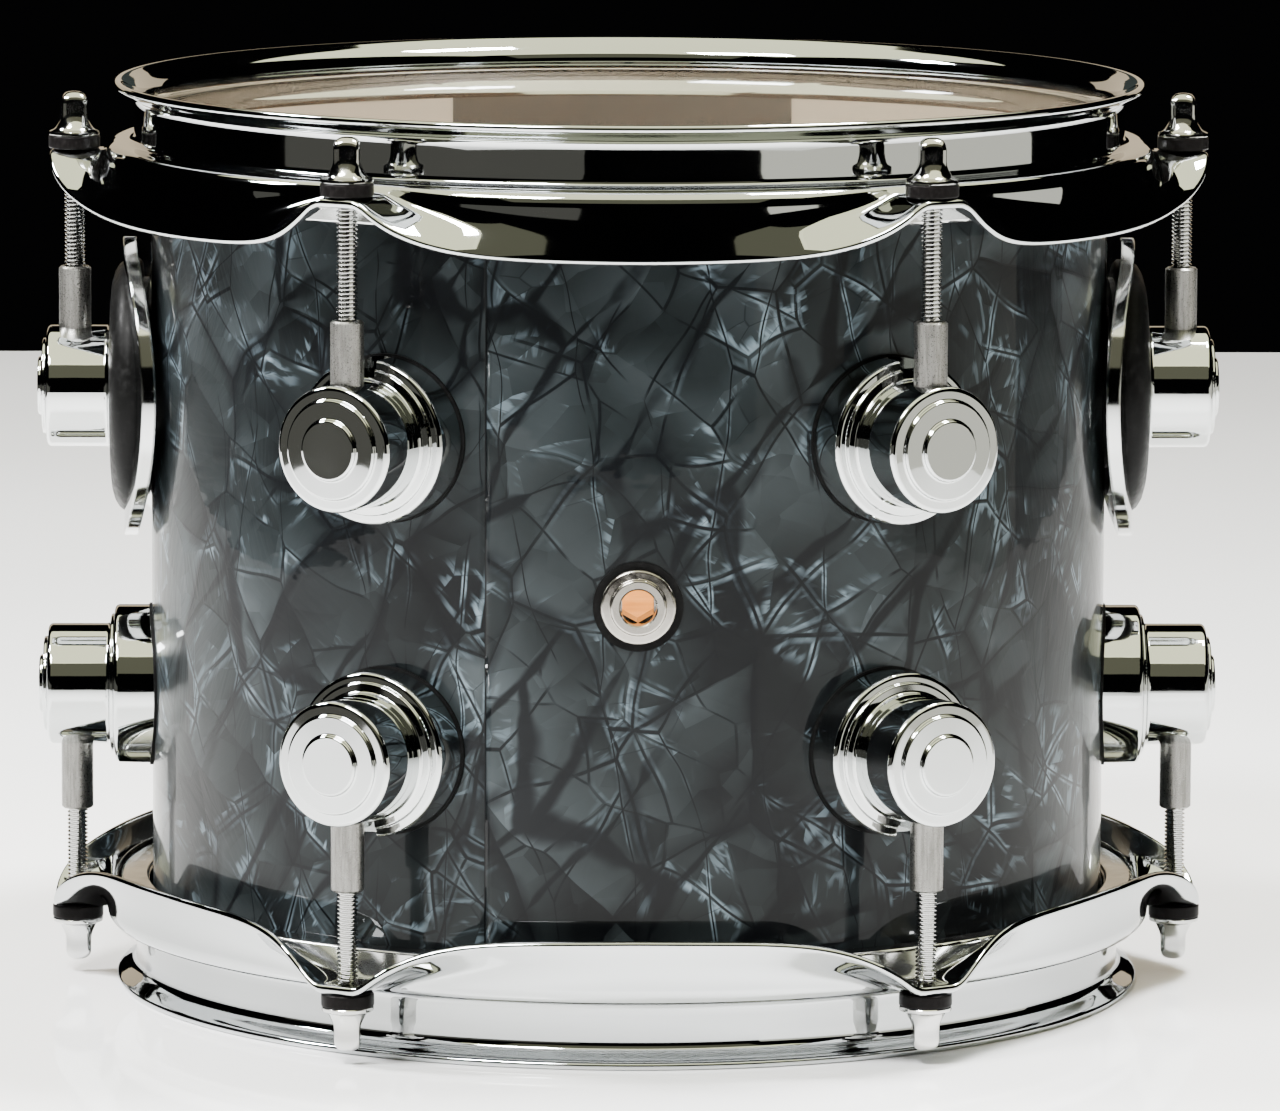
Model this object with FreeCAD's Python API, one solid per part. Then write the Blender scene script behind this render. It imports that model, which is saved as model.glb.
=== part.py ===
"""A small rack tom drum, standing on its lower hoop, as separate solids in millimetres.

+Z is up.  The origin is on the drum's axis, in the plane that the lower hoop rests on.
The front of the drum, with its vent, faces -Y, and azimuths are counted from there towards +X.
"""
import FreeCAD, Part
import math
import os

Vector = FreeCAD.Vector

# ------------------------------------------------------------------ driving dimensions, mm
DRUM_HEIGHT = 240.7          # from the lower hoop's lip to the upper hoop's lip
SHELL_RADIUS = 127.0         # outside of the finish wrap
WRAP_THICKNESS = 0.6
WOOD_THICKNESS = 6.4
EDGE_DEPTH = 8.6             # each bearing edge lies this far inside the lip plane
SEAM_AZIMUTH = -17.7         # where the two ends of the wrap meet
SEAM_GAP = 0.3

ROD_COUNT = 6
FIRST_ROD_AZIMUTH = 30.0
ROD_STEP = 360.0 / ROD_COUNT
ROD_CIRCLE = 147.2           # radius on which the tension rods stand
ROD_RADIUS = 2.74            # major radius of the 12-24 thread
ROD_LENGTH = 57.0            # under the head
ROD_FIT = 0.06               # radial clearance in the receiver

HOOP_THICKNESS = 2.2
LIP_RADIUS = 136.3           # underside of the flared lip
WALL_RADIUS = 131.5          # outside of the hoop's upright wall
EAR_RADIUS = 152.8
HOOP_COLUMNS = 120           # control columns round a hoop
BATTER_DROPS = {"shoulder": 16.1, "ear": 18.6, "edge": 33.6}       # depths below the lip plane
RESONANT_DROPS = {"shoulder": 16.9, "ear": 18.6, "edge": 33.2}

FLESH_INNER = 128.3
FLESH_OUTER = 135.5
FLESH_HEIGHT = 8.6
FILM_THICKNESS = 0.3
SEAT_GAP = 0.15              # free play between a hoop and its flesh hoop

UPPER_LUG_Z = 158.6
LOWER_LUG_Z = 78.3
LUG_FACE = 157.1             # outermost face of a lug, from the drum's axis
LUG_FLANGE_RADIUS = 21.2
LUG_STEP_RADIUS = 18.8
LUG_BARREL_RADIUS = 16.15
LUG_SCREW_RADIUS = 3.0
GASKET_THICKNESS = 0.75
LUG_BASE = SHELL_RADIUS + GASKET_THICKNESS

UPPER_RECEIVER_END = 190.6
LOWER_RECEIVER_END = 44.8
RECEIVER_RADIUS = 4.25

WASHER_RADIUS = 6.8
WASHER_THICKNESS = 3.4
HEAD_HEIGHT = 11.6           # flange and square together
HEAD_SQUARE = 6.35

VENT_Z = 117.8
VENT_HOLE = 4.6
VENT_KEY = 8.0               # across the flats of the hexagonal inner half of the hole
VENT_STEP = 7.1
VENT_RADIUS = 9.65
VENT_GASKET_RADIUS = 11.5

EYE_RADIUS = 39.8            # chrome eye of the suspension band, round each side lug
EYE_HOLE = 29.0
BAND_INNER = 130.8
BAND_OUTER = 134.3
BAND_MIDDLE_Z = 118.5        # the band runs between the two rows of lugs
BAND_WIDTH = 26.0
RUBBER_RADIUS = 34.0
RUBBER_FACE = 137.6

CLAMP_BORE = 6.35            # for a 12.7 mm mounting rod
CLAMP_BORE_Y = 161.0
CLAMP_HALF_WIDTH = 25.0
CLAMP_HEIGHT = 26.0
CLAMP_GAP = 1.6              # between base and jaw when tight
CLAMP_BOLT_X = 16.5
JAW_DEPTH = 12.0
STUD_RADIUS = 3.97
GUIDE_RADIUS = 3.0
FOOT_FACE = 141.5            # outer face of the clamp's foot plate


# ------------------------------------------------------------------ helpers
def polar(radius, azimuth, z):
    angle = math.radians(azimuth)
    return Vector(radius * math.sin(angle), -radius * math.cos(angle), z)


def outline(corners, place):
    """A closed wire through corners (a, b[, radius]); place(a, b) gives each point in space."""
    count = len(corners)
    entries = []
    for i, corner in enumerate(corners):
        here = Vector(corner[0], corner[1], 0)
        radius = corner[2] if len(corner) > 2 else 0.0
        if not radius:
            entries.append((here, here, here))
            continue
        before = corners[i - 1]
        after = corners[(i + 1) % count]
        back = Vector(before[0], before[1], 0) - here
        ahead = Vector(after[0], after[1], 0) - here
        back.normalize()
        ahead.normalize()
        half = math.acos(max(-1.0, min(1.0, back.dot(ahead)))) / 2
        reach = radius / math.tan(half)
        centre = here + (back + ahead).normalize() * (radius / math.sin(half))
        middle = centre + (here - centre).normalize() * radius
        entries.append((here + back * reach, middle, here + ahead * reach))
    edges = []
    for i, (_, _, leave) in enumerate(entries):
        arrive, middle, follow = entries[(i + 1) % count]
        if (arrive - leave).Length > 1e-6:
            edges.append(Part.makeLine(place(leave.x, leave.y), place(arrive.x, arrive.y)))
        if (follow - arrive).Length > 1e-6:
            arc = Part.Arc(place(arrive.x, arrive.y), place(middle.x, middle.y), place(follow.x, follow.y))
            edges.append(arc.toShape())
    return Part.Wire(edges)


def turned_upright(corners):
    """A body of revolution about +Z; corners are (radius, z[, fillet])."""
    face = Part.Face(outline(corners, lambda radius, z: Vector(radius, 0, z)))
    return face.revolve(Vector(0, 0, 0), Vector(0, 0, 1), 360)


def turned_radial(corners):
    """A body of revolution about +X; corners are (distance along X, radius[, fillet])."""
    face = Part.Face(outline(corners, lambda along, radius: Vector(along, radius, 0)))
    return face.revolve(Vector(0, 0, 0), Vector(1, 0, 0), 360)


def tube(inner, outer, low, high):
    return Part.makeCylinder(outer, high - low, Vector(0, 0, low)).cut(
        Part.makeCylinder(inner, high - low + 2, Vector(0, 0, low - 1)))


def radial_cylinder(radius, start, end, z=0.0):
    return Part.makeCylinder(radius, end - start, Vector(start, 0, z), Vector(1, 0, 0))


def box(low, high):
    size = Vector(*high) - Vector(*low)
    return Part.makeBox(size.x, size.y, size.z, Vector(*low))


def turned_to(shape, azimuth):
    """Swing a piece built on the +X side round to an azimuth."""
    copy = shape.copy()
    copy.rotate(Vector(0, 0, 0), Vector(0, 0, 1), azimuth - 90.0)
    return copy


def flipped(shape, z_sum):
    """Turn a piece upside down about a line along X, so that z becomes z_sum - z."""
    copy = shape.copy()
    copy.rotate(Vector(0, 0, z_sum / 2.0), Vector(1, 0, 0), 180)
    return copy


def rod_azimuths():
    return [FIRST_ROD_AZIMUTH + ROD_STEP * i for i in range(ROD_COUNT)]


def group(shapes):
    return Part.makeCompound(shapes)


# ------------------------------------------------------------------ shell and finish
def bearing_edge_profile():
    """Half section of the wooden shell: 45 degree inner cuts, rounded outer edges."""
    outer = SHELL_RADIUS - WRAP_THICKNESS
    inner = outer - WOOD_THICKNESS
    peak = outer - 1.3
    low = EDGE_DEPTH
    high = DRUM_HEIGHT - EDGE_DEPTH
    cut = peak - inner
    return [(inner, low + cut), (peak, low, 0.5), (outer, low, 1.2), (outer, high, 1.2),
            (peak, high, 0.5), (inner, high - cut)]


def make_shell():
    shell = turned_upright(bearing_edge_profile())
    for azimuth in rod_azimuths():
        for z in (UPPER_LUG_Z, LOWER_LUG_Z):
            hole = radial_cylinder(LUG_SCREW_RADIUS + 0.3, 110, 140, z)
            shell = shell.cut(turned_to(hole, azimuth))
    vent = radial_cylinder(VENT_STEP - 0.5, 110, 140, VENT_Z)
    return shell.cut(turned_to(vent, 0))


def make_wrap():
    """A thin sleeve with a seam, stopping short of both bearing edges."""
    margin = EDGE_DEPTH + 5.4
    wrap = tube(SHELL_RADIUS - WRAP_THICKNESS, SHELL_RADIUS, margin, DRUM_HEIGHT - margin)
    slit = box((110, -SEAM_GAP / 2, 0), (140, SEAM_GAP / 2, DRUM_HEIGHT))
    wrap = wrap.cut(turned_to(slit, SEAM_AZIMUTH))
    for azimuth in rod_azimuths():
        for z in (UPPER_LUG_Z, LOWER_LUG_Z):
            hole = radial_cylinder(LUG_SCREW_RADIUS + 0.3, 110, 140, z)
            wrap = wrap.cut(turned_to(hole, azimuth))
    vent = radial_cylinder(VENT_STEP - 0.5, 110, 140, VENT_Z)
    return wrap.cut(turned_to(vent, 0))


# ------------------------------------------------------------------ drum heads
def make_film(seat_top):
    """The clear film: flat over the shell, then a collar down inside the flesh hoop."""
    top = DRUM_HEIGHT - EDGE_DEPTH + FILM_THICKNESS
    foot = seat_top - FLESH_HEIGHT + 1.5
    peak = SHELL_RADIUS - 1.6
    t = FILM_THICKNESS
    outer = [(peak + 0.3, top, 0.8), (peak + 1.7, top - 0.7, 1.0), (peak + 2.5, top - 3.2, 2.0),
             (FLESH_INNER, seat_top + 1.6, 2.0), (FLESH_INNER, foot)]
    inner = [(FLESH_INNER - t, foot), (FLESH_INNER - t, seat_top + 1.5, 2.0),
             (peak + 2.2, top - t - 3.0, 2.0), (peak + 1.4, top - t - 0.5, 0.7), (peak + 0.25, top - t, 0.5)]
    return turned_upright([(0, top)] + outer + inner + [(0, top - t)])


def make_flesh_hoop(seat_top):
    low = seat_top - FLESH_HEIGHT
    return turned_upright([(FLESH_INNER, low, 0.5), (FLESH_OUTER, low, 0.8),
                           (FLESH_OUTER, seat_top, 1.2), (FLESH_INNER, seat_top, 1.2)])


# ------------------------------------------------------------------ hoops
def ear_share(azimuth):
    """0 in the middle of a skirt panel, rising smoothly to 1 on a rod ear."""
    away = (azimuth - FIRST_ROD_AZIMUTH) % ROD_STEP
    from_middle = abs(away - ROD_STEP / 2)
    x = from_middle / 27.6
    rise = 0.15 * x ** 1.6 + 0.85 * x ** 5.5
    soft = 0.15
    blend = max(soft - abs(1.0 - rise), 0.0) / soft
    return min(1.0, rise) - blend * blend * soft / 4


def mix(a, b, share):
    return a + (b - a) * share


def hoop_corners(drops, share):
    """Corners of the hoop's outer surface as (radius, depth, rounding), lip first."""
    shoulder = drops["shoulder"]
    ear = drops["ear"]
    edge = drops["edge"]
    reach = 1 - (1 - share) ** 2.2       # the skirt swings out before it lifts
    return [
        (LIP_RADIUS, 1.8, 0.0),
        (WALL_RADIUS, 4.6, 1.9),
        (WALL_RADIUS - 0.2, shoulder, 2.2),
        (mix(140.6, 136.7, share), shoulder + 0.1, mix(4.2, 0.9, share)),
        (mix(141.2, 139.2, share), mix(shoulder + 8.6, ear + 0.05, share), mix(3.0, 0.9, share)),
        (mix(142.1, EAR_RADIUS, reach), mix(edge, ear + 0.3, share), 0.0),
    ]


def rounded_path(corners, curve_steps, line_steps):
    """Sample the corners, each one rounded by a parabola that reaches the given distance."""
    points = []
    leave = Vector(corners[0][0], corners[0][1], 0)
    for i in range(1, len(corners)):
        here = Vector(corners[i][0], corners[i][1], 0)
        reach = corners[i][2]
        back = (leave - here).normalize()
        arrive = here + back * reach
        for k in range(line_steps):
            points.append(leave + (arrive - leave) * (k / line_steps))
        if not reach:
            points.append(here)
            break
        after = Vector(corners[i + 1][0], corners[i + 1][1], 0)
        follow = here + (after - here).normalize() * reach
        for k in range(curve_steps):
            s = k / curve_steps
            points.append(arrive * (1 - s) ** 2 + here * (2 * s * (1 - s)) + follow * s ** 2)
        leave = follow
    return points


def hoop_section(drops, share):
    """One closed section, split into outer side, skirt edge, inner side and lip."""
    outer = rounded_path(hoop_corners(drops, share), 4, 2)
    inner = []
    normals = []
    for i, point in enumerate(outer):
        ahead = outer[min(i + 1, len(outer) - 1)]
        behind = outer[max(i - 1, 0)]
        along = (ahead - behind).normalize()
        normal = Vector(-along.y, along.x, 0)
        normals.append((along, normal))
        inner.append(point + normal * HOOP_THICKNESS)

    def rounded_end(start, end, along):
        middle = (start + end) * 0.5 + along * (HOOP_THICKNESS * 0.42)
        side = along * (HOOP_THICKNESS * 0.36)
        return [start, start + side * 0.7, start * 0.8 + end * 0.2 + side, middle,
                start * 0.2 + end * 0.8 + side, end + side * 0.7, end]

    edge = rounded_end(outer[-1], inner[-1], normals[-1][0])
    lip = rounded_end(inner[0], outer[0], normals[0][0] * -1)
    return [outer, edge, inner[::-1], lip]


def ring_surface(rows):
    """A cubic surface, periodic round the drum, over a net of control points."""
    columns = len(rows)
    across = len(rows[0])
    round_knots = [float(i) for i in range(columns + 1)]
    across_knots = [float(i) for i in range(across - 2)]
    across_mults = [4] + [1] * (across - 4) + [4]
    surface = Part.BSplineSurface()
    surface.buildFromPolesMultsKnots(rows, [1] * (columns + 1), across_mults, round_knots,
                                     across_knots, True, False, 3, 3)
    return surface.toShape()


def make_hoop(drops):
    """The upper hoop: flared lip, upright wall, shoulder, and a skirt that rises to six ears."""
    sides = [[], [], [], []]
    for column in range(HOOP_COLUMNS):
        azimuth = 360.0 * column / HOOP_COLUMNS
        section = hoop_section(drops, ear_share(azimuth))
        for side, points in zip(sides, section):
            side.append([polar(p.x, azimuth, DRUM_HEIGHT - p.y) for p in points])
    shell = Part.makeShell([ring_surface(side) for side in sides])
    shell.sewShape()
    hoop = Part.makeSolid(shell)
    if hoop.Volume < 0:
        hoop.reverse()
    for azimuth in rod_azimuths():
        centre = polar(ROD_CIRCLE, azimuth, DRUM_HEIGHT - drops["ear"] - 10)
        hoop = hoop.cut(Part.makeCylinder(ROD_RADIUS + 0.66, 20, centre))
    return hoop.cut(Part.makeCylinder(160, 5, Vector(0, 0, DRUM_HEIGHT)))


# ------------------------------------------------------------------ lugs and receivers
def make_lug():
    """A hollow turret lug on the +X side at z = 0, with its rod hole facing up."""
    lug = turned_radial([
        (120.0, 0.0), (120.0, LUG_FLANGE_RADIUS), (136.8, LUG_FLANGE_RADIUS, 1.3),
        (137.1, LUG_STEP_RADIUS, 0.3), (137.9, LUG_STEP_RADIUS - 0.2, 0.5), (138.3, LUG_BARREL_RADIUS, 0.9),
        (LUG_FACE - 2.5, LUG_BARREL_RADIUS, 1.3), (LUG_FACE - 2.3, 12.8, 0.5),
        (LUG_FACE - 1.25, 12.6, 0.5), (LUG_FACE - 1.1, 7.9, 0.5), (LUG_FACE, 7.6, 0.6), (LUG_FACE, 0.0)])
    lug = lug.cut(Part.makeCylinder(LUG_BASE, 60, Vector(0, 0, -30)))
    lug = lug.cut(radial_cylinder(LUG_SCREW_RADIUS + 0.05, 120, 142))
    hollow = radial_cylinder(13.2, 120, 141.6).cut(radial_cylinder(5.8, 110, 150))
    lug = lug.cut(hollow)
    notch = box((129.5, -2.5, LUG_BARREL_RADIUS + 0.6), (142, 2.5, 30))
    lug = lug.cut(notch)
    well = Part.makeCylinder(RECEIVER_RADIUS + 0.15, 30, Vector(ROD_CIRCLE, 0, -5))
    return lug.cut(well)


def make_lug_gasket():
    ring = radial_cylinder(LUG_FLANGE_RADIUS + 0.5, 110, 140)
    ring = ring.cut(radial_cylinder(LUG_SCREW_RADIUS + 0.3, 100, 150))
    return ring.common(tube(SHELL_RADIUS, LUG_BASE, -30, 30))


def make_lug_screw():
    """Pan head, washer face and shank, driven outwards from inside the shell."""
    seat = SHELL_RADIUS - WRAP_THICKNESS - WOOD_THICKNESS
    shank = radial_cylinder(LUG_SCREW_RADIUS, seat - 2.5, 141)
    head = turned_radial([(seat - 5.2, 0), (seat - 5.2, 5.2, 2.0), (seat - 1.6, 5.6, 0.4), (seat - 1.6, 0)])
    slot = box((seat - 6, -0.6, -4), (seat - 3.6, 0.6, 4))
    cross = box((seat - 6, -4, -0.6), (seat - 3.6, 4, 0.6))
    return head.fuse(shank).cut(slot).cut(cross)


def make_lug_washer():
    seat = SHELL_RADIUS - WRAP_THICKNESS - WOOD_THICKNESS
    washer = turned_radial([(seat - 1.6, LUG_SCREW_RADIUS + 0.1), (seat - 1.6, 9.0, 0.3),
                            (seat + 2, 9.0), (seat + 2, LUG_SCREW_RADIUS + 0.1)])
    return washer.common(Part.makeCylinder(seat, 60, Vector(0, 0, -30)))


def make_receiver(lug_z, end_z):
    """A swivel nut that stands in the lug's well, for the upper row."""
    foot = lug_z - 4.5
    return turned_upright([
        (0, foot), (RECEIVER_RADIUS, foot, 0.5), (RECEIVER_RADIUS, end_z - 0.5), (RECEIVER_RADIUS - 0.5, end_z),
        (ROD_RADIUS + ROD_FIT + 0.25, end_z), (ROD_RADIUS + ROD_FIT, end_z - 0.4),
        (ROD_RADIUS + ROD_FIT, foot + 2.0), (0, foot + 2.0)])


# ------------------------------------------------------------------ tension rods and washers
def make_rod(seat_z):
    """Upper rod on the drum's axis: square drum-key head, round flange and threaded shank."""
    flange = turned_upright([
        (0, seat_z), (WASHER_RADIUS - 0.1, seat_z, 0.25), (WASHER_RADIUS - 0.1, seat_z + 0.9, 0.4),
        (5.2, seat_z + 1.7, 1.2), (4.0, seat_z + 3.4, 1.0), (3.7, seat_z + 4.2), (0, seat_z + 4.2)])
    half = HEAD_SQUARE / 2
    square = box((-half, -half, seat_z + 1.0), (half, half, seat_z + HEAD_HEIGHT))
    upright = [e for e in square.Edges if abs(e.Vertexes[0].Z - e.Vertexes[1].Z) > 1]
    square = square.makeFillet(0.7, upright)
    top = seat_z + HEAD_HEIGHT
    dome = turned_upright([(0, seat_z), (5.0, seat_z), (5.0, top - 2.6), (4.1, top - 1.4, 1.0), (2.6, top, 1.4),
                           (0, top)])
    shank = turned_upright([(0, seat_z - ROD_LENGTH), (ROD_RADIUS - 0.9, seat_z - ROD_LENGTH),
                            (ROD_RADIUS, seat_z - ROD_LENGTH + 1.2), (ROD_RADIUS, seat_z + 1), (0, seat_z + 1)])
    return flange.fuse([square.common(dome), shank])


def make_rod_washer(seat_z):
    return turned_upright([(ROD_RADIUS + 0.25, seat_z), (WASHER_RADIUS, seat_z, 0.5),
                           (WASHER_RADIUS, seat_z + WASHER_THICKNESS, 0.5),
                           (ROD_RADIUS + 0.25, seat_z + WASHER_THICKNESS)])


# ------------------------------------------------------------------ air vent
def make_vent_grommet():
    seat = SHELL_RADIUS - WRAP_THICKNESS - WOOD_THICKNESS
    face = SHELL_RADIUS + 3.2
    neck = VENT_STEP - 0.9
    inner_end = seat - 5.0
    grommet = turned_radial([
        (inner_end, 0), (inner_end, neck, 0.4), (SHELL_RADIUS - 2, neck), (SHELL_RADIUS - 2, VENT_RADIUS),
        (face - 1.1, VENT_RADIUS, 0.9), (face - 0.9, VENT_STEP + 0.1, 0.3), (face, VENT_STEP, 0.6), (face, 0)])
    grommet = grommet.cut(turned_ring_below(SHELL_RADIUS + 0.6, neck + 0.02))
    mouth = turned_radial([(SHELL_RADIUS - 3, 0), (SHELL_RADIUS - 3, VENT_HOLE), (face - 0.4, VENT_HOLE),
                           (face + 0.1, VENT_HOLE + 0.5), (face + 0.1, 0)])
    key = hexagon(VENT_KEY, inner_end - 1, SHELL_RADIUS)
    return grommet.cut(mouth).cut(key)


def hexagon(across, start, end):
    """A hexagonal bar along +X with a corner at its top."""
    corner = across / math.sqrt(3)
    angles = [math.radians(90 + 60 * i) for i in range(6)]
    points = [Vector(start, corner * math.cos(a), corner * math.sin(a)) for a in angles]
    return Part.Face(Part.makePolygon(points + points[:1])).extrude(Vector(end - start, 0, 0))


def turned_ring_below(radius, clear_of):
    """Everything inside a shell radius, except a core round the X axis."""
    block = Part.makeCylinder(radius, 60, Vector(0, 0, -30))
    return block.cut(radial_cylinder(clear_of, 90, 150))


def make_vent_gasket():
    ring = radial_cylinder(VENT_GASKET_RADIUS, 110, 140).cut(radial_cylinder(VENT_STEP - 0.5, 100, 150))
    return ring.common(tube(SHELL_RADIUS, SHELL_RADIUS + 0.6, -30, 30))


def make_vent_nut():
    seat = SHELL_RADIUS - WRAP_THICKNESS - WOOD_THICKNESS
    nut = hexagon(17.0, seat - 3.6, seat + 0.9)
    nut = nut.common(Part.makeCylinder(seat, 60, Vector(0, 0, -30)))
    return nut.cut(radial_cylinder(VENT_STEP - 0.88, 100, 150))


# ------------------------------------------------------------------ suspension mount
def band_middle(azimuth):
    """Height of the band's centre line: level at the back, climbing to the eye at the side."""
    climb = (125.0 - azimuth) / 35.0
    climb = max(0.0, min(1.0, climb))
    ease = climb * climb * (3 - 2 * climb)
    return mix(BAND_MIDDLE_Z, UPPER_LUG_Z - 12.0, ease)


def band_arm():
    """A tall, thick ribbon that cuts one arm of the band out of a tube."""
    sections = []
    for azimuth in range(92, 185, 4):
        middle = band_middle(azimuth)
        corners = [polar(125, azimuth, middle - BAND_WIDTH / 2), polar(140, azimuth, middle - BAND_WIDTH / 2),
                   polar(140, azimuth, middle + BAND_WIDTH / 2), polar(125, azimuth, middle + BAND_WIDTH / 2)]
        sections.append(Part.makePolygon(corners + corners[:1]))
    return Part.makeLoft(sections, True, False)


def make_band():
    right = band_arm()
    left = right.mirror(Vector(0, 0, 0), Vector(1, 0, 0))
    eyes = [radial_cylinder(EYE_RADIUS, 110, 150, UPPER_LUG_Z)]
    eyes.append(turned_to(eyes[0], -90))
    plate = box((-30, 110, BAND_MIDDLE_Z - 25), (30, 150, BAND_MIDDLE_Z + 25))
    upright = [e for e in plate.Edges if abs(e.Vertexes[0].Y - e.Vertexes[1].Y) > 1]
    plate = plate.makeFillet(8, upright)
    cutter = right.fuse([left, plate] + eyes)
    band = tube(BAND_INNER, BAND_OUTER, 60, 210).common(cutter)
    hole = radial_cylinder(EYE_HOLE, 110, 150, UPPER_LUG_Z)
    band = band.cut(hole).cut(turned_to(hole, -90))
    for x, z in bracket_screw_places():
        band = band.cut(Part.makeCylinder(2.7, 60, Vector(x, 110, z), Vector(0, 1, 0)))
    return band


def make_eye_rubber():
    """A grooved rubber ring on the +X side: it grips the band's eye and the lug's flange."""
    inner_lip = radial_cylinder(RUBBER_RADIUS, 110, 150).common(tube(SHELL_RADIUS + 0.3, BAND_INNER, -50, 50))
    waist = radial_cylinder(EYE_HOLE, 110, 150).common(tube(SHELL_RADIUS + 0.3, RUBBER_FACE, -50, 50))
    outer_lip = radial_cylinder(RUBBER_RADIUS, 110, 150).common(tube(BAND_OUTER, RUBBER_FACE, -50, 50))
    ring = waist.fuse([inner_lip, outer_lip])
    return ring.cut(radial_cylinder(LUG_FLANGE_RADIUS + 0.6, 100, 160))


def bracket_screw_places():
    return [(x, BAND_MIDDLE_Z + z) for x in (-21.5, 21.5) for z in (-17.8, 17.8)]


def clamp_bounds():
    low = BAND_MIDDLE_Z - CLAMP_HEIGHT / 2
    return low, low + CLAMP_HEIGHT


def softened(block, radius):
    """Round the upright edges of a block."""
    upright = [e for e in block.Edges if abs(e.Vertexes[0].Z - e.Vertexes[1].Z) > 1]
    return block.makeFillet(radius, upright)


def make_bracket_gasket():
    pad = softened(box((-27.5, 120, BAND_MIDDLE_Z - 23), (27.5, 150, BAND_MIDDLE_Z + 23)), 3)
    pad = pad.common(tube(BAND_OUTER, BAND_OUTER + 1.0, 60, 180))
    for x, z in bracket_screw_places():
        pad = pad.cut(Part.makeCylinder(2.7, 60, Vector(x, 110, z), Vector(0, 1, 0)))
    return pad


def make_clamp_base():
    """Foot plate, block with half of the rod bore, stud hole and guide-pin hole."""
    low, high = clamp_bounds()
    meet = CLAMP_BORE_Y - CLAMP_GAP / 2
    foot = box((-27, 120, BAND_MIDDLE_Z - 22.5), (27, FOOT_FACE, BAND_MIDDLE_Z + 22.5))
    edges = [e for e in foot.Edges if abs(e.Vertexes[0].Y - e.Vertexes[1].Y) > 1]
    foot = foot.makeFillet(6, edges)
    block = softened(box((-CLAMP_HALF_WIDTH + 2, 130, low), (CLAMP_HALF_WIDTH - 2, meet, high)), 2.5)
    base = foot.fuse(block)
    base = base.cut(Part.makeCylinder(BAND_OUTER + 1.0, 200, Vector(0, 0, 20)))
    base = base.cut(Part.makeCylinder(CLAMP_BORE, 200, Vector(0, CLAMP_BORE_Y, 20)))
    for x in (CLAMP_BOLT_X, -CLAMP_BOLT_X):
        radius = STUD_RADIUS + 0.03 if x > 0 else GUIDE_RADIUS + 0.03
        base = base.cut(Part.makeCylinder(radius, 40, Vector(x, 145, BAND_MIDDLE_Z), Vector(0, 1, 0)))
    for x, z in bracket_screw_places():
        base = base.cut(Part.makeCylinder(2.7, 60, Vector(x, 110, z), Vector(0, 1, 0)))
    return base


def make_clamp_jaw():
    low, high = clamp_bounds()
    meet = CLAMP_BORE_Y + CLAMP_GAP / 2
    jaw = softened(box((-CLAMP_HALF_WIDTH, meet, low), (CLAMP_HALF_WIDTH, meet + JAW_DEPTH, high)), 3.0)
    jaw = jaw.cut(Part.makeCylinder(CLAMP_BORE, 200, Vector(0, CLAMP_BORE_Y, 20)))
    jaw = jaw.cut(Part.makeCylinder(STUD_RADIUS + 0.35, 60, Vector(CLAMP_BOLT_X, 145, BAND_MIDDLE_Z),
                                    Vector(0, 1, 0)))
    return jaw.cut(Part.makeCylinder(GUIDE_RADIUS + 0.06, 60, Vector(-CLAMP_BOLT_X, 145, BAND_MIDDLE_Z),
                                     Vector(0, 1, 0)))


def clamp_face():
    return CLAMP_BORE_Y + CLAMP_GAP / 2 + JAW_DEPTH


def along_y(corners, x, z):
    """A body of revolution about a line along +Y; corners are (y, radius[, fillet])."""
    shape = turned_radial(corners)
    shape.rotate(Vector(0, 0, 0), Vector(0, 0, 1), 90)
    shape.translate(Vector(x, 0, z))
    return shape


def make_clamp_stud():
    end = clamp_face() + 19.0
    return along_y([(145.2, 0), (145.2, STUD_RADIUS), (end - 1, STUD_RADIUS), (end, STUD_RADIUS - 1), (end, 0)],
                   CLAMP_BOLT_X, BAND_MIDDLE_Z)


def make_guide_pin():
    end = clamp_face() - 1.5
    return along_y([(145.2, 0), (145.2, GUIDE_RADIUS), (end - 0.6, GUIDE_RADIUS), (end, GUIDE_RADIUS - 0.6), (end, 0)],
                   -CLAMP_BOLT_X, BAND_MIDDLE_Z)


def make_nut_washer():
    face = clamp_face()
    return along_y([(face, STUD_RADIUS + 0.35), (face, 8.6), (face + 1.6, 8.6, 0.4), (face + 1.6, STUD_RADIUS + 0.35)],
                   CLAMP_BOLT_X, BAND_MIDDLE_Z)


def make_wing_nut():
    """A tapered hub with two blades, free to turn on the stud."""
    start = clamp_face() + 1.65
    hub = along_y([(start, 0), (start, 7.6, 0.5), (start + 9.5, 6.0, 1.5), (start + 9.5, 0)], 0, 0)
    blades = []
    for side in (1, -1):
        blade = Part.Face(outline([(side * 4.0, start + 1.0), (side * 11.0, start + 2.5, 3.0),
                                   (side * 17.5, start + 10.0, 4.0), (side * 15.0, start + 15.5, 3.0),
                                   (side * 9.5, start + 13.0, 3.0), (side * 4.0, start + 8.6)],
                                  lambda x, y: Vector(x, y, 0)))
        blades.append(blade.extrude(Vector(0, 0, 3.4)).translated(Vector(0, 0, -1.7)))
    nut = hub.fuse(blades)
    nut.translate(Vector(CLAMP_BOLT_X, 0, BAND_MIDDLE_Z))
    return nut.cut(Part.makeCylinder(STUD_RADIUS + 0.06, 60, Vector(CLAMP_BOLT_X, 150, BAND_MIDDLE_Z),
                                     Vector(0, 1, 0)))


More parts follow.
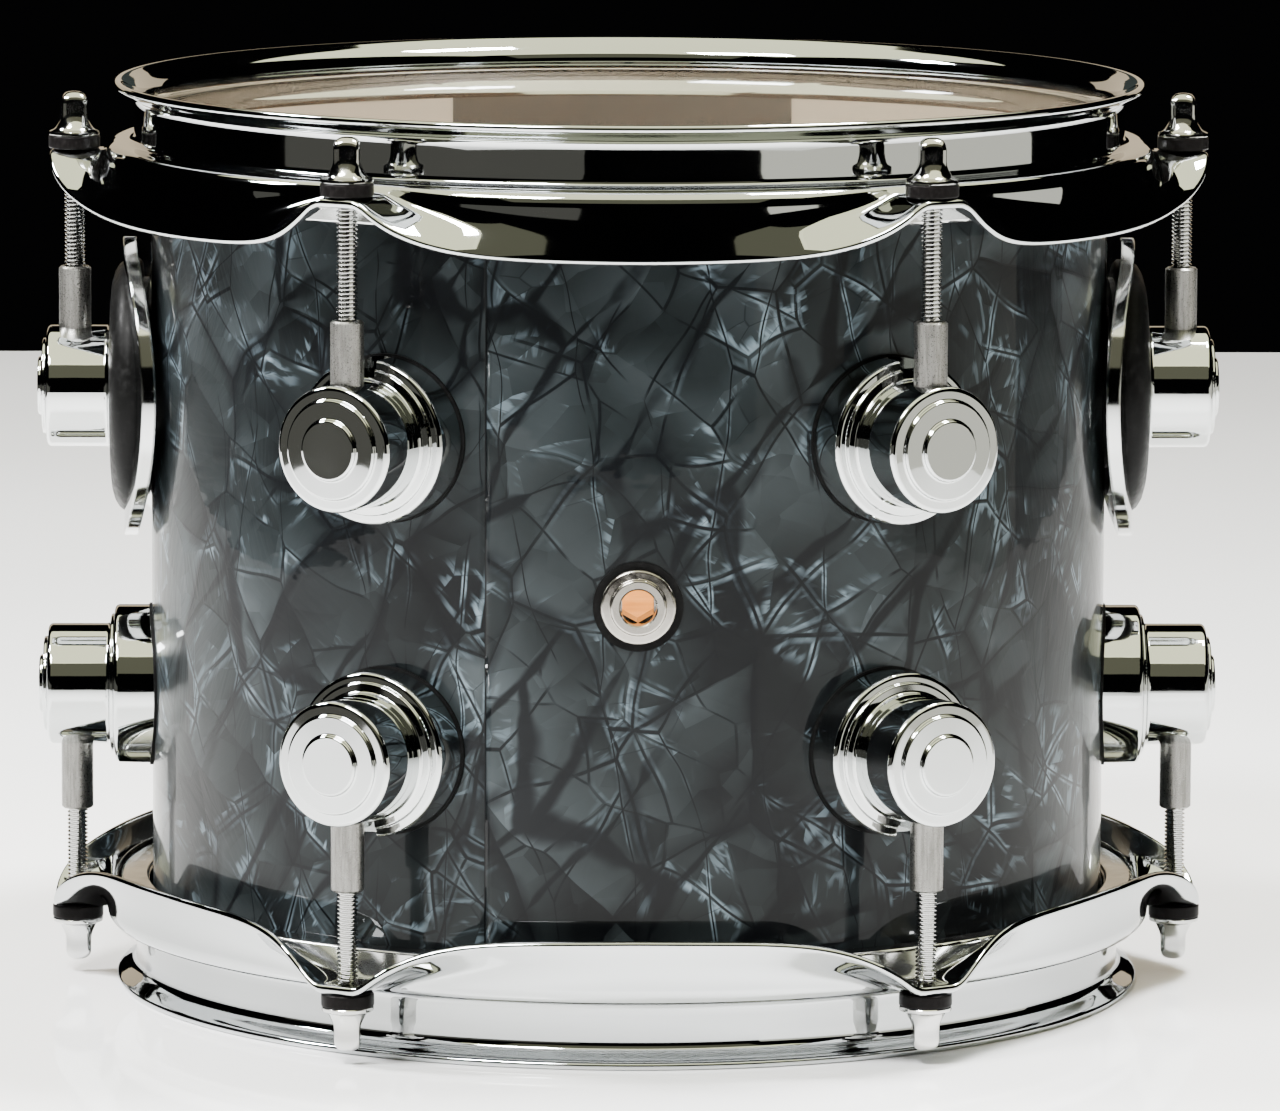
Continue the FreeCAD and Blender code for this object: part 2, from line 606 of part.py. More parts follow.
def make_bracket_screw(x, z):
    """A button-head screw through foot plate and pad, into the band."""
    end = SHELL_RADIUS + 0.3
    screw = along_y([(end, 0), (end, 2.5), (FOOT_FACE, 2.5), (FOOT_FACE, 4.3, 0.3),
                     (FOOT_FACE + 2.5, 3.4, 1.2), (FOOT_FACE + 2.5, 0)], x, z)
    socket = Part.makeCylinder(1.5, 3, Vector(x, FOOT_FACE + 0.9, z), Vector(0, 1, 0))
    return screw.cut(socket)


# ------------------------------------------------------------------ write one file for each piece
def pieces():
    found = {}
    batter_seat = DRUM_HEIGHT - BATTER_DROPS["shoulder"] - HOOP_THICKNESS - SEAT_GAP
    resonant_seat = DRUM_HEIGHT - RESONANT_DROPS["shoulder"] - HOOP_THICKNESS - SEAT_GAP
    found["shell"] = make_shell()
    found["finish_wrap"] = make_wrap()
    found["batter_hoop"] = make_hoop(BATTER_DROPS)
    found["resonant_hoop"] = flipped(make_hoop(RESONANT_DROPS), DRUM_HEIGHT)
    found["batter_head_film"] = make_film(batter_seat)
    found["batter_flesh_hoop"] = make_flesh_hoop(batter_seat)
    found["resonant_head_film"] = flipped(make_film(resonant_seat), DRUM_HEIGHT)
    found["resonant_flesh_hoop"] = flipped(make_flesh_hoop(resonant_seat), DRUM_HEIGHT)

    for name, maker in (("vent_grommet", make_vent_grommet), ("vent_gasket", make_vent_gasket),
                        ("vent_nut", make_vent_nut)):
        found[name] = turned_to(maker().translated(Vector(0, 0, VENT_Z)), 0)

    upper_lug = make_lug().translated(Vector(0, 0, UPPER_LUG_Z))
    lower_lug = flipped(make_lug(), 0).translated(Vector(0, 0, LOWER_LUG_Z))
    upper_ear = DRUM_HEIGHT - BATTER_DROPS["ear"]
    lower_ear_flipped = DRUM_HEIGHT - RESONANT_DROPS["ear"]
    on_circle = Vector(ROD_CIRCLE, 0, 0)
    upper_rod = make_rod(upper_ear + WASHER_THICKNESS + 0.05).translated(on_circle)
    lower_rod = flipped(make_rod(lower_ear_flipped + WASHER_THICKNESS + 0.05), DRUM_HEIGHT).translated(on_circle)
    for i, azimuth in enumerate(rod_azimuths(), 1):
        found[f"upper_lug_{i}"] = turned_to(upper_lug, azimuth)
        found[f"lower_lug_{i}"] = turned_to(lower_lug, azimuth)
        found[f"top_rod_{i}"] = turned_to(upper_rod, azimuth)
        found[f"bottom_rod_{i}"] = turned_to(lower_rod, azimuth)

    upper_washer = make_rod_washer(upper_ear).translated(on_circle)
    lower_washer = flipped(make_rod_washer(lower_ear_flipped), DRUM_HEIGHT).translated(on_circle)
    upper_receiver = make_receiver(UPPER_LUG_Z, UPPER_RECEIVER_END).translated(on_circle)
    lower_receiver = flipped(make_receiver(0, LOWER_LUG_Z - LOWER_RECEIVER_END), LOWER_LUG_Z)
    lower_receiver = lower_receiver.translated(on_circle)
    rings = {
        "top_rod_washers": upper_washer,
        "bottom_rod_washers": lower_washer,
        "upper_receivers": upper_receiver,
        "lower_receivers": lower_receiver,
    }
    for row, height in (("upper", UPPER_LUG_Z), ("lower", LOWER_LUG_Z)):
        lift = Vector(0, 0, height)
        rings[f"{row}_lug_gaskets"] = make_lug_gasket().translated(lift)
        rings[f"{row}_lug_screws"] = make_lug_screw().translated(lift)
        rings[f"{row}_lug_screw_washers"] = make_lug_washer().translated(lift)
    for name, shape in rings.items():
        found[name] = group([turned_to(shape, azimuth) for azimuth in rod_azimuths()])

    rubber = make_eye_rubber().translated(Vector(0, 0, UPPER_LUG_Z))
    found["suspension_band"] = make_band()
    found["right_eye_rubber"] = rubber
    found["left_eye_rubber"] = turned_to(rubber, -90)
    found["bracket_gasket"] = make_bracket_gasket()
    found["clamp_base"] = make_clamp_base()
    found["clamp_jaw"] = make_clamp_jaw()
    found["clamp_stud"] = make_clamp_stud()
    found["clamp_guide_pin"] = make_guide_pin()
    found["wing_nut_washer"] = make_nut_washer()
    found["wing_nut"] = make_wing_nut()
    found["bracket_screws"] = group([make_bracket_screw(x, z) for x, z in bracket_screw_places()])
    return found


def main():
    os.makedirs("parts", exist_ok=True)
    for name, shape in pieces().items():
        if not shape.isValid() or shape.Volume <= 0:
            print("check", name, shape.isValid(), round(shape.Volume, 2))
        shape.exportStep(f"parts/{name}.step")
    print(len(os.listdir("parts")), "files")


main()
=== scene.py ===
"""Looks of the rack tom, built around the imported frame: chrome, pearl wrap, clear heads, threaded rods."""
import math
import bpy
from mathutils import Matrix, Vector


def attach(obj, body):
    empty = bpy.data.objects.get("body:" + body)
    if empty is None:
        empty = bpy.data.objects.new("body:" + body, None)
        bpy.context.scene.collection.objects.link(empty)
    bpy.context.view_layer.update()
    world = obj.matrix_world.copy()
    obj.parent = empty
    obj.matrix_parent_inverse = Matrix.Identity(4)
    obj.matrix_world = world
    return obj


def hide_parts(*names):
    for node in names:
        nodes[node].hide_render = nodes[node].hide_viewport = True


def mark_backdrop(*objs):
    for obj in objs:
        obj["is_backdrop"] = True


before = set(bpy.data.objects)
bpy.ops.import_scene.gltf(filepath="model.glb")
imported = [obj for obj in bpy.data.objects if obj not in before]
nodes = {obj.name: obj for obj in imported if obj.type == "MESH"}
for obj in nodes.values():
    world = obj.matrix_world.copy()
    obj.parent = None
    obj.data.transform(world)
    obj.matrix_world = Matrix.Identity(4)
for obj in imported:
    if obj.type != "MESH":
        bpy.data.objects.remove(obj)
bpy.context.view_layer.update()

# Lengths in millimetres, azimuths in degrees from the front towards +X. Depths count from a hoop's lip.
MM = 0.001
DRUM_HEIGHT = 240.7
SHELL_RADIUS = 127.0
VENT_Z = 117.8
VENT_BORE_RADIUS = 8.4
UPPER_LUG_Z = 158.6
SEAM_AZIMUTH = -17.7
WRAP_MARGIN = 14.0
WRAP_THICKNESS = 0.6
HEAD_DEPTH = 8.6
FILM_THICKNESS = 0.3
FILM_PEAK = 125.4                                   # radius where a head turns down over the bearing edge
FLESH_INNER = 128.3
FLESH_DROP = 2.35                                   # from a hoop's shoulder down to its flesh hoop
BATTER_SHOULDER, BATTER_EDGE = 16.1, 33.6
RESONANT_SHOULDER, RESONANT_EDGE = 16.9, 33.2
EAR_DEPTH = 18.6
WASHER_HEIGHT = 3.4
FIT_GAP = 0.05
THREAD_PITCH, THREAD_MAJOR, THREAD_MINOR = 1.058, 2.74, 2.14      # pitch, and radii at crest and root
THREAD_LENGTH = 57.0
ROD_CIRCLE = 147.2
ROD_AZIMUTHS = [30.0 + 60.0 * i for i in range(6)]
HEAD_TURNS = [4.0, -7.0, 8.0, -5.0, 6.0, -3.0]      # how each rod's square head happens to stand

# Pearl cells: direction in degrees, length in millimetres, length over width, and a seed.
LARGE_PLATES = (68.0, 44.0, 1.5, 31.0)
SMALL_PLATES = (-38.0, 29.0, 1.8, 94.0)
CHIPS = (35.0, 15.0, 2.0, 57.0)
CROSS_CREASES = (97.0, 62.0, 3.0, 217.0)
BROAD_FOLDS = (52.0, 78.0, 3.0, 333.0)


# ------------------------------------------------------------------ shader helpers
def new_material(name, colour=(0.8, 0.8, 0.8), metallic=0.0, roughness=0.5, coat=0.0):
    made = bpy.data.materials.new(name)
    made.use_nodes = True
    tree = made.node_tree
    tree.nodes.clear()
    output = tree.nodes.new("ShaderNodeOutputMaterial")
    surface = tree.nodes.new("ShaderNodeBsdfPrincipled")
    tree.links.new(surface.outputs["BSDF"], output.inputs["Surface"])
    surface.inputs["Base Color"].default_value = (*colour, 1.0)
    surface.inputs["Metallic"].default_value = metallic
    surface.inputs["Roughness"].default_value = roughness
    surface.inputs["Coat Weight"].default_value = coat
    surface.inputs["Coat Roughness"].default_value = 0.02
    return made, tree, surface


def feed(tree, socket, value):
    """Link an output, or set a plain number or vector."""
    if isinstance(value, bpy.types.NodeSocket):
        tree.links.new(value, socket)
    else:
        socket.default_value = value


def calc(tree, operation, a, b=0.0, c=0.0, clamp=False):
    node = tree.nodes.new("ShaderNodeMath")
    node.operation = operation
    node.use_clamp = clamp
    for socket, value in zip(node.inputs, (a, b, c)):
        feed(tree, socket, value)
    return node.outputs[0]


def span(tree, value, low, high, to_low=0.0, to_high=1.0, smooth=True):
    node = tree.nodes.new("ShaderNodeMapRange")
    node.interpolation_type = "SMOOTHSTEP" if smooth else "LINEAR"
    for socket, number in zip(node.inputs, (value, low, high, to_low, to_high)):
        feed(tree, socket, number)
    return node.outputs[0]


def product(tree, first, *others):
    for value in others:
        first = calc(tree, "MULTIPLY", first, value)
    return first


def largest(tree, first, *others):
    for value in others:
        first = calc(tree, "MAXIMUM", first, value)
    return first


def fading(tree, distance, full, gone, weight=1.0):
    """weight within the distance full, sinking to 0 at gone."""
    return span(tree, distance, full, gone, weight, 0.0)


def blend_colour(tree, share, a, b):
    node = tree.nodes.new("ShaderNodeMix")
    node.data_type = "RGBA"
    feed(tree, node.inputs[0], share)
    for socket, value in ((node.inputs[6], a), (node.inputs[7], b)):
        feed(tree, socket, value if isinstance(value, bpy.types.NodeSocket) else (*value, 1.0))
    return node.outputs[2]


def noise(tree, place, scale, detail=3.0, roughness=0.5, distortion=0.0):
    node = tree.nodes.new("ShaderNodeTexNoise")
    node.inputs["Scale"].default_value = scale
    node.inputs["Detail"].default_value = detail
    node.inputs["Roughness"].default_value = roughness
    node.inputs["Distortion"].default_value = distortion
    feed(tree, node.inputs["Vector"], place)
    return node.outputs["Fac"]


def stretched(tree, place, scale, turn=0.0):
    node = tree.nodes.new("ShaderNodeMapping")
    node.inputs["Scale"].default_value = scale
    node.inputs["Rotation"].default_value = (0.0, 0.0, math.radians(turn))
    feed(tree, node.inputs["Vector"], place)
    return node.outputs[0]


def object_place(tree):
    return tree.nodes.new("ShaderNodeTexCoord").outputs["Object"]


def bumped(tree, surface, height, strength, distance):
    node = tree.nodes.new("ShaderNodeBump")
    node.inputs["Strength"].default_value = strength
    node.inputs["Distance"].default_value = distance
    feed(tree, node.inputs["Height"], height)
    tree.links.new(node.outputs[0], surface.inputs["Normal"])


def worn_metal(name, colour, low, high, grain, wave=0.0, wave_scale=45.0, softened=0.0):
    """Plated metal: roughness drifts between low and high, with faint waviness under the polish;
    softened is the radius in metres that its sharp edges seem to have."""
    made, tree, surface = new_material(name, colour, 1.0, low)
    place = object_place(tree)
    patches = noise(tree, place, grain, 4.0, 0.6)
    tree.links.new(span(tree, patches, 0.35, 0.75, low, high), surface.inputs["Roughness"])
    if wave:
        bumped(tree, surface, noise(tree, place, wave_scale, 2.0, 0.4), wave, 0.002)
    if softened:
        edge = tree.nodes.new("ShaderNodeBevel")
        edge.samples = 4
        edge.inputs["Radius"].default_value = softened
        waviness = surface.inputs["Normal"].links[0].from_node
        tree.links.new(edge.outputs[0], waviness.inputs["Normal"])
    return made


def brushed_nickel(name):
    made, tree, surface = new_material(name, (0.3, 0.29, 0.27), 1.0, 0.3)
    place = object_place(tree)
    specks = noise(tree, place, 2600.0, 2.0, 0.7)
    streaks = noise(tree, stretched(tree, place, (1500.0, 1500.0, 120.0)), 1.0, 3.0, 0.6)
    tree.links.new(span(tree, specks, 0.3, 0.7, 0.24, 0.42), surface.inputs["Roughness"])
    tint = span(tree, streaks, 0.3, 0.7)
    colour = blend_colour(tree, tint, (0.16, 0.155, 0.145), (0.25, 0.245, 0.23))
    tree.links.new(colour, surface.inputs["Base Color"])
    bumped(tree, surface, specks, 0.25, 0.0002)
    return made


def dark_polymer(name, colour, roughness, grain, depth):
    made, tree, surface = new_material(name, colour, 0.0, roughness)
    surface.inputs["Specular IOR Level"].default_value = 0.05
    place = object_place(tree)
    fine = noise(tree, place, grain, 4.0, 0.6)
    rough = span(tree, fine, 0.3, 0.7, roughness - 0.08, roughness + 0.1)
    tree.links.new(rough, surface.inputs["Roughness"])
    dusty = tuple(c * 2.2 + 0.001 for c in colour)
    shade = blend_colour(tree, span(tree, fine, 0.45, 0.8), colour, dusty)
    tree.links.new(shade, surface.inputs["Base Color"])
    bumped(tree, surface, fine, 0.3, depth)
    return made


def maple():
    """Ply shell seen from inside: horizontal grain with darker pores, greyer towards both edges."""
    made, tree, surface = new_material("maple_ply", (0.6, 0.38, 0.19), 0.0, 0.42)
    place = object_place(tree)
    split = tree.nodes.new("ShaderNodeSeparateXYZ")
    tree.links.new(place, split.inputs[0])
    angle = calc(tree, "ARCTAN2", split.outputs[0], split.outputs[1])
    along = tree.nodes.new("ShaderNodeCombineXYZ")
    feed(tree, along.inputs[0], calc(tree, "MULTIPLY", angle, 0.12))
    tree.links.new(split.outputs[2], along.inputs[1])
    grain = noise(tree, stretched(tree, along.outputs[0], (14.0, 240.0, 1.0)), 1.0, 6.0, 0.62, 0.4)
    pores = noise(tree, stretched(tree, along.outputs[0], (90.0, 1900.0, 1.0)), 1.0, 3.0, 0.6)
    base = blend_colour(tree, span(tree, grain, 0.3, 0.72), (0.50, 0.20, 0.03), (0.70, 0.33, 0.075))
    from_middle = calc(tree, "ABSOLUTE", calc(tree, "SUBTRACT", split.outputs[2], DRUM_HEIGHT * MM / 2))
    base = blend_colour(tree, span(tree, from_middle, 0.060, 0.100, 0.0, 0.85), base, (0.335, 0.310, 0.238))
    shaded = blend_colour(tree, span(tree, pores, 0.62, 0.78, 0.0, 0.35), base, (0.32, 0.15, 0.05))
    tree.links.new(shaded, surface.inputs["Base Color"])
    bumped(tree, surface, pores, 0.2, 0.0002)
    return made


def clear_film():
    """Drum head: see-through from above, a mirror at grazing angles, with faint wipe marks."""
    made, tree, surface = new_material("clear_head", (0.93, 0.94, 0.95), 1.0, 0.02)
    facing = tree.nodes.new("ShaderNodeLayerWeight").outputs["Facing"]
    mirror = calc(tree, "MULTIPLY_ADD", calc(tree, "POWER", facing, 5.0), 1.15, 0.02)
    place = object_place(tree)
    wipe = noise(tree, stretched(tree, place, (30.0, 6.0, 1.0), 25.0), 1.0, 5.0, 0.65)
    tree.links.new(span(tree, wipe, 0.4, 0.8, 0.015, 0.05), surface.inputs["Roughness"])
    veil = span(tree, wipe, 0.45, 0.8, 0.0, 0.02)
    tree.links.new(calc(tree, "ADD", mirror, veil, clamp=True), surface.inputs["Alpha"])
    return made


def pearl():
    """Folded plates of dark pearl film under a clear gloss, laid out in millimetres on the unrolled sheet."""
    made, tree, surface = new_material("pearl_wrap", (0.03, 0.035, 0.04), 0.3, 0.38)
    surface.inputs["Coat IOR"].default_value = 1.40
    surface.inputs["Specular IOR Level"].default_value = 0.05
    facing = tree.nodes.new("ShaderNodeLayerWeight").outputs["Facing"]
    tree.links.new(span(tree, calc(tree, "POWER", facing, 4.0), 0.05, 0.9, 0.27, 0.75),
                   surface.inputs["Coat Weight"])
    uv = tree.nodes.new("ShaderNodeTexCoord").outputs["UV"]
    sheet = stretched(tree, uv, (1000.0, 1000.0, 1.0))

    bend = tree.nodes.new("ShaderNodeTexNoise")
    bend.inputs["Scale"].default_value = 1.0 / 42.0
    bend.inputs["Detail"].default_value = 1.5
    tree.links.new(sheet, bend.inputs["Vector"])
    push = tree.nodes.new("ShaderNodeVectorMath")
    push.operation = "MULTIPLY_ADD"
    tree.links.new(bend.outputs["Color"], push.inputs[0])
    push.inputs[1].default_value = (14.0, 14.0, 0.0)
    tree.links.new(sheet, push.inputs[2])
    bent = push.outputs[0]

    def cells(turn, size, stretch, seed, feature):
        """Random cells, size millimetres long in the direction turn and narrower across it."""
        placed = tree.nodes.new("ShaderNodeMapping")
        placed.vector_type = "TEXTURE"
        placed.inputs["Location"].default_value = (seed, seed * 0.7, 0.0)
        placed.inputs["Rotation"].default_value = (0.0, 0.0, math.radians(turn))
        placed.inputs["Scale"].default_value = (size, size / stretch, 1.0)
        tree.links.new(bent, placed.inputs["Vector"])
        node = tree.nodes.new("ShaderNodeTexVoronoi")
        node.voronoi_dimensions = "2D"
        node.feature = feature
        node.inputs["Scale"].default_value = 1.0
        tree.links.new(placed.outputs[0], node.inputs["Vector"])
        return placed.outputs[0], node

    def plates(*layout):
        """Three random numbers per cell, and a slope that leans its own way in each."""
        placed, node = cells(*layout, "F1")
        apart = tree.nodes.new("ShaderNodeVectorMath")
        apart.operation = "SUBTRACT"
        tree.links.new(placed, apart.inputs[0])
        tree.links.new(node.outputs["Position"], apart.inputs[1])
        split = tree.nodes.new("ShaderNodeSeparateXYZ")
        tree.links.new(apart.outputs[0], split.inputs[0])
        picks = tree.nodes.new("ShaderNodeSeparateColor")
        tree.links.new(node.outputs["Color"], picks.inputs[0])
        slope_x = calc(tree, "SUBTRACT", picks.outputs[1], 0.5)
        slope_y = calc(tree, "SUBTRACT", picks.outputs[2], 0.5)
        lean = calc(tree, "MULTIPLY", split.outputs[0], slope_x)
        lean = calc(tree, "MULTIPLY_ADD", split.outputs[1], slope_y, lean)
        return picks.outputs, lean

    def folds(turn, size, stretch, seed):
        """Distance in millimetres to the nearest border between cells."""
        node = cells(turn, size, stretch, seed, "DISTANCE_TO_EDGE")[1]
        return calc(tree, "MULTIPLY", node.outputs["Distance"], size)

    def fibres(pick, length, width, detail):
        """Striations that run a different way in each plate."""
        turn = tree.nodes.new("ShaderNodeVectorRotate")
        turn.rotation_type = "Z_AXIS"
        tree.links.new(sheet, turn.inputs["Vector"])
        tree.links.new(calc(tree, "MULTIPLY", pick, 2.0 * math.pi), turn.inputs["Angle"])
        drawn = stretched(tree, turn.outputs[0], (1.0 / length, 1.0 / width, 1.0))
        return noise(tree, drawn, 1.0, detail, 0.5, 0.6)

    region = noise(tree, sheet, 1.0 / 26.0, 2.0, 0.5)
    breaks = noise(tree, stretched(tree, sheet, (0.045, 0.045, 1.0), 40.0), 1.0, 2.0, 0.5)
    smoke = noise(tree, sheet, 1.0 / 60.0, 5.0, 0.55)

    large, large_lean = plates(*LARGE_PLATES)
    small, small_lean = plates(*SMALL_PLATES)
    chips, chips_lean = plates(*CHIPS)
    tone = -0.02
    for value, weight in ((large[0], 0.22), (small[0], 0.14), (chips[0], 0.07), (large_lean, 0.80),
                          (small_lean, 0.58), (chips_lean, 0.30), (smoke, 0.46)):
        tone = calc(tree, "MULTIPLY_ADD", value, weight, tone)
    ramp = tree.nodes.new("ShaderNodeValToRGB")
    stops = ramp.color_ramp.elements
    stops[0].position, stops[0].color = 0.10, (0.0030, 0.0036, 0.0042, 1.0)
    stops[1].position, stops[1].color = 1.0, (0.053, 0.064, 0.070, 1.0)
    stops.new(0.40).color = (0.0100, 0.0126, 0.0134, 1.0)
    stops.new(0.68).color = (0.0228, 0.0281, 0.0305, 1.0)
    tree.links.new(tone, ramp.inputs[0])

    edge_large = folds(*LARGE_PLATES)
    edge_small = folds(*SMALL_PLATES)
    edge_chips = folds(*CHIPS)
    edge_cross = folds(*CROSS_CREASES)
    edge_fold = folds(*BROAD_FOLDS)

    satin = fibres(small[1], 11.0, 2.4, 2.0)
    # Painted highlights: the masks below place bluish-white glints along creases and on some chips of the
    # pearl, standing in for lamp reflections off its flakes.
    near_fold = product(tree, span(tree, edge_small, 0.3, 1.2), fading(tree, edge_small, 1.8, 5.0))
    painted_glint = product(tree, near_fold, span(tree, satin, 0.50, 0.64), span(tree, region, 0.47, 0.60),
                   span(tree, small[2], 0.25, 0.80))
    chip_glint = product(tree, span(tree, chips_lean, 0.10, 0.20), span(tree, satin, 0.48, 0.62),
                    span(tree, region, 0.44, 0.58), 0.45)
    crease = calc(tree, "MINIMUM", edge_large, calc(tree, "MINIMUM", edge_small, edge_cross))
    beside = product(tree, span(tree, crease, 0.40, 0.85), fading(tree, crease, 1.1, 2.4))
    crease_glint = product(tree, beside, span(tree, region, 0.50, 0.62), span(tree, satin, 0.36, 0.62, 0.35, 0.95),
                    span(tree, small[2], 0.35, 0.70, 0.25, 1.0))
    painted_glint = largest(tree, painted_glint, chip_glint, crease_glint)
    # The painted glints go into the pearl's base colour in a bluish-white highlight colour.
    lit = blend_colour(tree, calc(tree, "MULTIPLY", painted_glint, 0.8), ramp.outputs[0], (0.17, 0.225, 0.265))

    wide = span(tree, breaks, 0.38, 0.62, 0.6, 8.5, smooth=False)
    taper = calc(tree, "SUBTRACT", 1.0, calc(tree, "DIVIDE", edge_fold, wide), clamp=True)
    soft = product(tree, span(tree, taper, 0.0, 0.7), span(tree, smoke, 0.36, 0.50))
    halo = product(tree, fading(tree, edge_large, 0.2, 4.6, 0.8), span(tree, breaks, 0.56, 0.42))
    lines = product(tree, fading(tree, edge_large, 0.30, 0.70), span(tree, breaks, 0.66, 0.54))
    cross = product(tree, fading(tree, edge_cross, 0.32, 0.72), span(tree, region, 0.36, 0.44))
    fine = product(tree, fading(tree, edge_small, 0.28, 0.66, 0.9), span(tree, breaks, 0.45, 0.53))
    hair = product(tree, fading(tree, edge_chips, 0.12, 0.40, 0.5), span(tree, region, 0.54, 0.62))
    along = tree.nodes.new("ShaderNodeSeparateXYZ")
    tree.links.new(sheet, along.inputs[0])
    from_seam = calc(tree, "PINGPONG", along.outputs[0], math.pi * SHELL_RADIUS)
    seam = fading(tree, from_seam, 0.15, 0.40)
    dark = largest(tree, soft, halo, lines, cross, fine, hair, seam)
    tree.links.new(blend_colour(tree, calc(tree, "MULTIPLY", dark, 0.94), lit, (0.0022, 0.0026, 0.0034)),
                   surface.inputs["Base Color"])

    facets = calc(tree, "MULTIPLY_ADD", large_lean, 14.0, calc(tree, "MULTIPLY", small_lean, 7.0))
    bumped(tree, surface, calc(tree, "MULTIPLY_ADD", satin, 0.6, facets), 0.14, 0.001)
    sag = tree.nodes.new("ShaderNodeBump")
    sag.inputs["Strength"].default_value = 0.05
    sag.inputs["Distance"].default_value = 0.001
    tree.links.new(noise(tree, sheet, 1.0 / 9.0, 2.0, 0.4), sag.inputs["Height"])
    tree.links.new(sag.outputs[0], surface.inputs["Coat Normal"])
    return made


def table_top():
    made, tree, surface = new_material("glossy_table", (0.90, 0.90, 0.91), 0.0, 0.5, coat=0.8)
    surface.inputs["Coat Roughness"].default_value = 0.05
    place = object_place(tree)
    clouds = noise(tree, place, 3.0, 2.0)
    tree.links.new(span(tree, clouds, 0.3, 0.7, 0.45, 0.55), surface.inputs["Roughness"])
    return made


CHROME = worn_metal("bright_chrome", (0.45, 0.465, 0.47), 0.025, 0.055, 30.0, 0.02)
LUG_CHROME = worn_metal("lug_chrome", (0.50, 0.515, 0.515), 0.03, 0.06, 60.0, 0.02, 90.0)
ROD_CHROME = worn_metal("rod_chrome", (0.50, 0.50, 0.49), 0.07, 0.14, 300.0)
STEEL = worn_metal("plain_steel", (0.42, 0.42, 0.41), 0.18, 0.32, 400.0)
BAND = worn_metal("band_chrome", (0.50, 0.51, 0.51), 0.04, 0.08, 40.0, 0.03, softened=0.0009)
VENT = worn_metal("vent_nickel", (0.32, 0.30, 0.27), 0.16, 0.28, 500.0)
NICKEL = brushed_nickel("brushed_nickel")
NYLON = dark_polymer("black_nylon", (0.0035, 0.003, 0.003), 0.36, 900.0, 0.0001)
RUBBER = dark_polymer("black_rubber", (0.003, 0.003, 0.003), 0.42, 500.0, 0.0002)
GASKET = dark_polymer("black_gasket", (0.0025, 0.0025, 0.0025), 0.5, 700.0, 0.0002)
RING = worn_metal("head_ring", (0.55, 0.55, 0.54), 0.12, 0.22, 120.0)
WOOD = maple()
FILM = clear_film()
PEARL = pearl()

FINISH = {
    "shell": WOOD, "finish_wrap": PEARL, "batter_hoop": CHROME, "resonant_hoop": CHROME,
    "batter_head_film": FILM, "resonant_head_film": FILM, "batter_flesh_hoop": RING,
    "resonant_flesh_hoop": RING, "vent_grommet": VENT, "vent_gasket": GASKET, "vent_nut": VENT,
    "upper_lug_gaskets": GASKET, "lower_lug_gaskets": GASKET, "upper_lug_screws": STEEL,
    "lower_lug_screws": STEEL, "upper_lug_screw_washers": STEEL, "lower_lug_screw_washers": STEEL,
    "upper_receivers": NICKEL, "lower_receivers": NICKEL, "top_rod_washers": NYLON,
    "bottom_rod_washers": NYLON, "suspension_band": BAND, "right_eye_rubber": RUBBER,
    "left_eye_rubber": RUBBER, "bracket_gasket": RUBBER, "clamp_base": BAND, "clamp_jaw": BAND,
    "clamp_stud": STEEL, "clamp_guide_pin": STEEL, "wing_nut_washer": STEEL, "wing_nut": BAND,
    "bracket_screws": STEEL,
}
for name, node in nodes.items():
    if "_lug_" in name and name[-1].isdigit():
        finish = LUG_CHROME
    elif "_rod_" in name and name[-1].isdigit():
        finish = ROD_CHROME
    else:
        finish = FINISH[name]
    if not node.material_slots:
        node.data.materials.append(finish)
    for place in node.material_slots:
        place.material = finish


# ------------------------------------------------------------------ mesh helpers, in millimetres
def polar(radius, azimuth, z):
    angle = math.radians(azimuth)
    return Vector((radius * math.sin(angle), -radius * math.cos(angle), z))


def piece(name, points, faces, material, body, stands_for, sharp):
    """A smooth mesh that rides on body and replaces the CAD nodes in stands_for. Edges that turn more
    than sharp degrees stay hard."""
    mesh = bpy.data.meshes.new(name)
    mesh.from_pydata([Vector(p) * MM for p in points], [], faces)
    mesh.validate()
    mesh.shade_smooth()
    mesh.set_sharp_from_angle(angle=math.radians(sharp))
    mesh.materials.append(material)
    made = bpy.data.objects.new(name, mesh)
    bpy.context.scene.collection.objects.link(made)
    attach(made, body)
    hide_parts(*stands_for)
    return made


def mix(a, b, share):
    return a + (b - a) * share


def ear_share(azimuth):
    """0 in the middle of a skirt panel, rising smoothly to 1 on a rod ear."""
    panel_half = 27.6
    x = abs((azimuth - 30.0) % 60.0 - 30.0) / panel_half
    rise = 0.15 * x ** 1.6 + 0.85 * x ** 5.5
    soft = 0.15
    near = max(soft - abs(1.0 - rise), 0.0) / soft
    return min(1.0, rise) - near * near * soft / 4


def hoop_corners(shoulder, ear, edge, share):
    """Corners of the hoop's outer surface as (radius, depth, rounding), lip first."""
    reach = 1 - (1 - share) ** 2.2
    return [
        (136.3, 1.8, 0.0), (131.5, 4.6, 1.9), (131.3, shoulder, 2.2),
        (mix(140.6, 136.7, share), shoulder + 0.1, mix(4.2, 0.9, share)),
        (mix(140.8, 139.2, share), mix(shoulder + 8.6, ear + 0.05, share), mix(3.0, 0.9, share)),
        (mix(142.1, 152.8, reach), mix(edge, ear + 0.3, share), 0.0)]


def smooth_path(corners, curve_steps, line_steps):
    """Points and travel directions along the corners, each one rounded by a parabola."""
    found = []
    leave = Vector(corners[0][:2])
    for i in range(1, len(corners)):
        here = Vector(corners[i][:2])
        back = (leave - here).normalized()
        arrive = here + back * corners[i][2]
        for k in range(line_steps):
            found.append((leave.lerp(arrive, k / line_steps), -back))
        if i == len(corners) - 1:
            found.append((here, -back))
            break
        ahead = (Vector(corners[i + 1][:2]) - here).normalized()
        follow = here + ahead * corners[i][2]
        for k in range(curve_steps):
            s = k / curve_steps
            point = arrive * (1 - s) ** 2 + here * (2 * s * (1 - s)) + follow * s ** 2
            found.append((point, ((here - arrive) * (1 - s) + (follow - here) * s).normalized()))
        leave = follow
    return found


